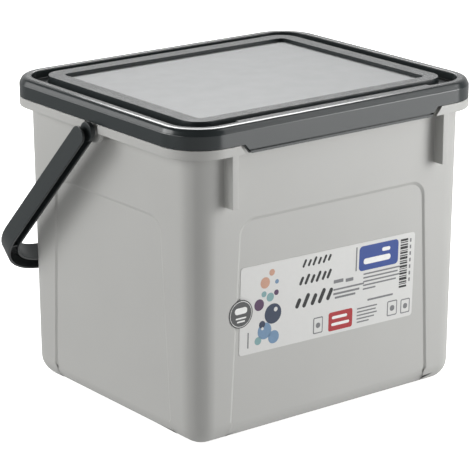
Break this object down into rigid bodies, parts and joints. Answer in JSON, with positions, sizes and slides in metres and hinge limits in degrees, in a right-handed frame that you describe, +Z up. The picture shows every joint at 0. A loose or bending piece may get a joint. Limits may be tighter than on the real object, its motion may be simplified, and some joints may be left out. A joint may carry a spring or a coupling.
{
  "type": "lidded storage container",
  "caption": "Tapered rectangular plastic container for washing powder, with a lift-off lid, a front opening lip and a swinging U-shaped carrying bail.",
  "frame": {"origin": "centre of the flat underside that the container stands on", "axes": "+Z up; the labelled front faces -Y; the bail's pivot axis lies along X"},
  "size_m": [0.226, 0.1976, 0.1805],
  "materials": {
    "container_plastic": "moulded polypropylene, satin, warm light grey",
    "lid_plastic": "moulded polypropylene, half gloss, anthracite",
    "handle_plastic": "moulded polypropylene, satin, anthracite",
    "label_film": "printed film sticker, pale grey",
    "badge_film": "printed film sticker, dark grey"
  },
  "bodies": {
    "container": {"container": "container_plastic", "label": "label_film", "badge": "badge_film"},
    "lid": {"lid": "lid_plastic"},
    "handle": {"handle": "handle_plastic"}
  },
  "joints": [
    {"name": "bail_hinge", "type": "hinge", "parent": "container", "child": "handle", "pos_m": [0, 0, 0.1646], "axis": [1, 0, 0], "range_deg": [-5.2, 276.2]},
    {"name": "lid_lift", "type": "slide", "parent": "container", "child": "lid", "axis": [0, 0, 1], "range_m": [0, 0.06]}
  ]
}
